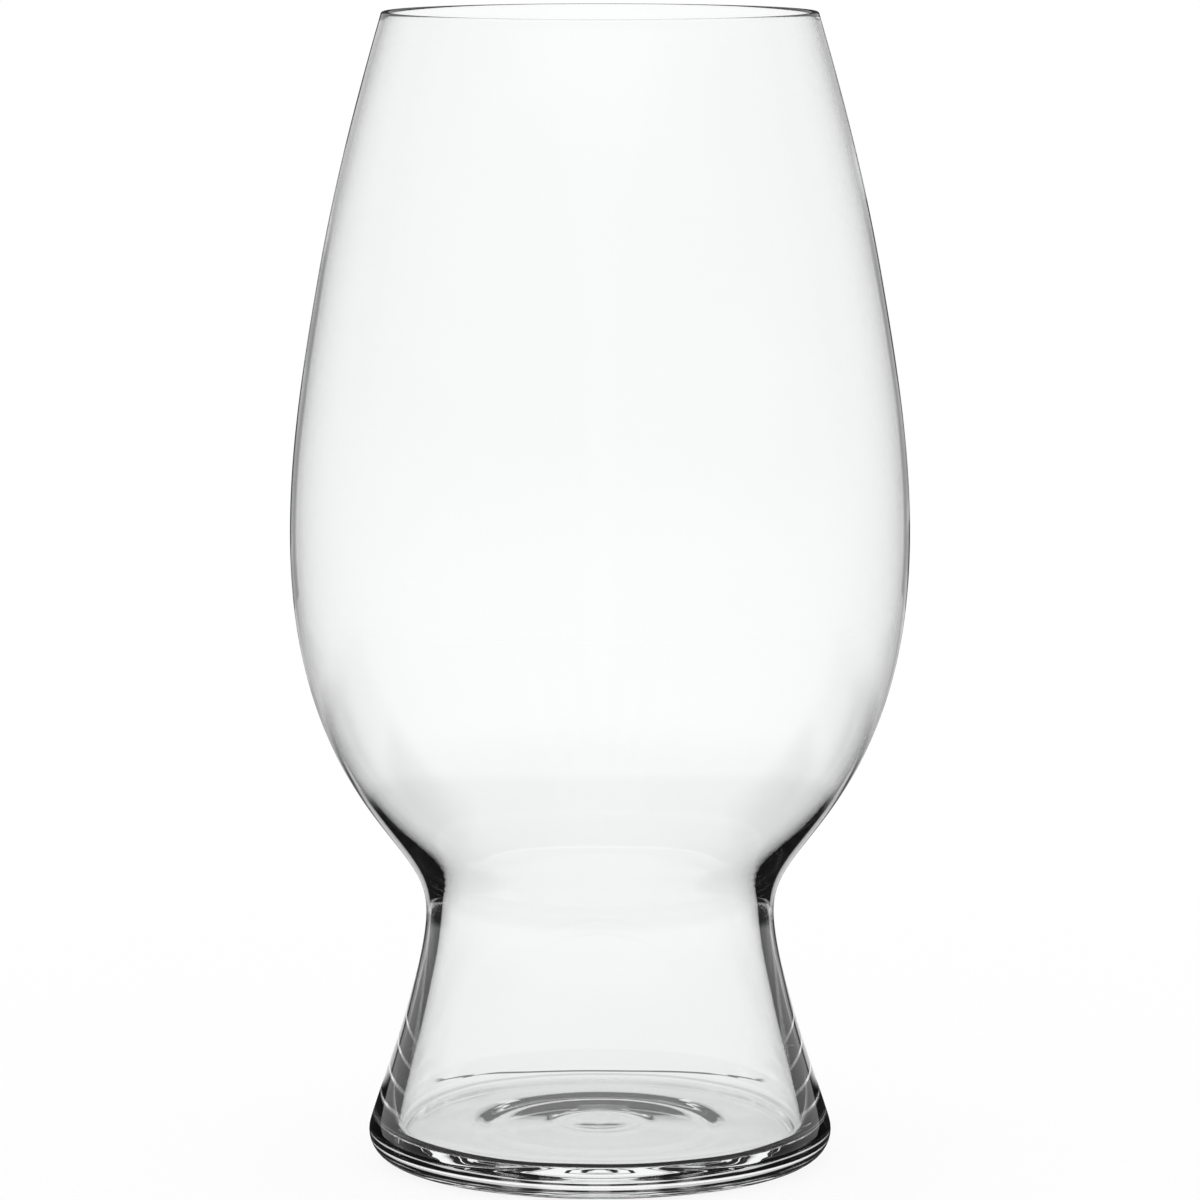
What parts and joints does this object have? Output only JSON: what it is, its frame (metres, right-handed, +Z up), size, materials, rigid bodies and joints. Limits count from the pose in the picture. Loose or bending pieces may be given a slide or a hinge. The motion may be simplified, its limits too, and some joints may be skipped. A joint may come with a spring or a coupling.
{
  "type": "wheat beer glass",
  "caption": "Clear wheat beer glass with a rounded belly that narrows to a thin rim, a drawn-in waist and a hollow flared foot on a thick base.",
  "frame": {"origin": "centre of the resting ring, on the table", "axes": "+Z up along the axis of the glass, towards the rim; X and Y level, with no preferred direction"},
  "size_m": [0.0968, 0.0968, 0.18],
  "materials": {
    "clear_glass_base": "clear, smooth from the mould, thick",
    "clear_glass_foot": "clear, smooth from the mould",
    "clear_glass_waist": "clear, smooth from the mould",
    "clear_glass_lower_bowl": "clear, thin blown wall",
    "clear_glass_belly": "clear, thin blown wall",
    "clear_glass_shoulder": "clear, thin blown wall",
    "clear_glass_upper_bowl": "clear, thin blown wall",
    "clear_glass_rim": "clear, fire polished"
  },
  "bodies": {
    "root": {"base": "clear_glass_base", "foot": "clear_glass_foot", "waist": "clear_glass_waist", "lower_bowl": "clear_glass_lower_bowl", "belly": "clear_glass_belly", "shoulder": "clear_glass_shoulder", "upper_bowl": "clear_glass_upper_bowl", "rim": "clear_glass_rim"}
  },
  "joints": []
}
